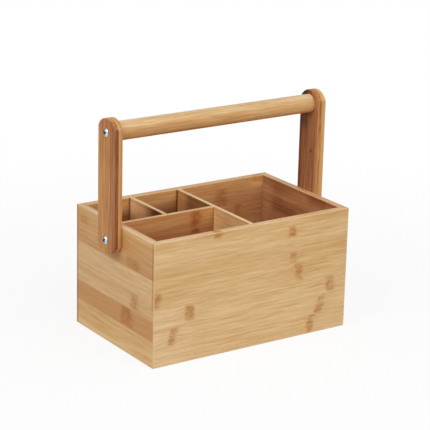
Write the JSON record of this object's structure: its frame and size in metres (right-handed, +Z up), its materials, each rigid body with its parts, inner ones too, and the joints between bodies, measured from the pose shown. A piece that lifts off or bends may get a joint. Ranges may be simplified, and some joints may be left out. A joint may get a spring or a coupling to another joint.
{
  "type": "utensil caddy",
  "caption": "Open bamboo utensil caddy with mitred sides, a floor board, dividers that make sorted bays, and a carry handle that swings on side pivots.",
  "frame": {"origin": "on the surface the box stands on, under the middle of the box, with the handle upright", "axes": "+X along the box from the divided end to the open bay, -Y towards the long front side beside the long bay, +Z up"},
  "size_m": [0.2828, 0.1624, 0.2579],
  "materials": {
    "side_board": "clear satin lacquer on pale laminated bamboo",
    "end_board": "clear satin lacquer on laminated bamboo with one darker strip",
    "floor_board": "clear satin lacquer on laminated bamboo",
    "divider_board": "clear satin lacquer on laminated bamboo",
    "arm_board": "clear satin lacquer on caramel bamboo with dark strips",
    "grip_wood": "turned and sanded pale bamboo",
    "screw_steel": "bright zinc-plated steel",
    "insert_brass": "plain turned brass",
    "washer_nylon": "natural nylon"
  },
  "bodies": {
    "box": {"front_panel": "side_board", "back_panel": "side_board", "left_end_panel": "end_board", "right_end_panel": "end_board", "floor_panel": "floor_board", "cross_divider": "divider_board", "lengthwise_divider": "divider_board", "short_divider": "divider_board", "left_pivot_screw": "screw_steel", "right_pivot_screw": "screw_steel", "left_pivot_insert": "insert_brass", "right_pivot_insert": "insert_brass", "left_pivot_washer": "washer_nylon", "right_pivot_washer": "washer_nylon"},
    "handle": {"left_arm": "arm_board", "right_arm": "arm_board", "grip_dowel": "grip_wood", "left_grip_screw": "screw_steel", "right_grip_screw": "screw_steel"}
  },
  "joints": [
    {"name": "handle_swing", "type": "hinge", "parent": "box", "child": "handle", "pos_m": [0, 0, 0.123], "axis": [1, 0, 0], "range_deg": [-90, 90]}
  ]
}
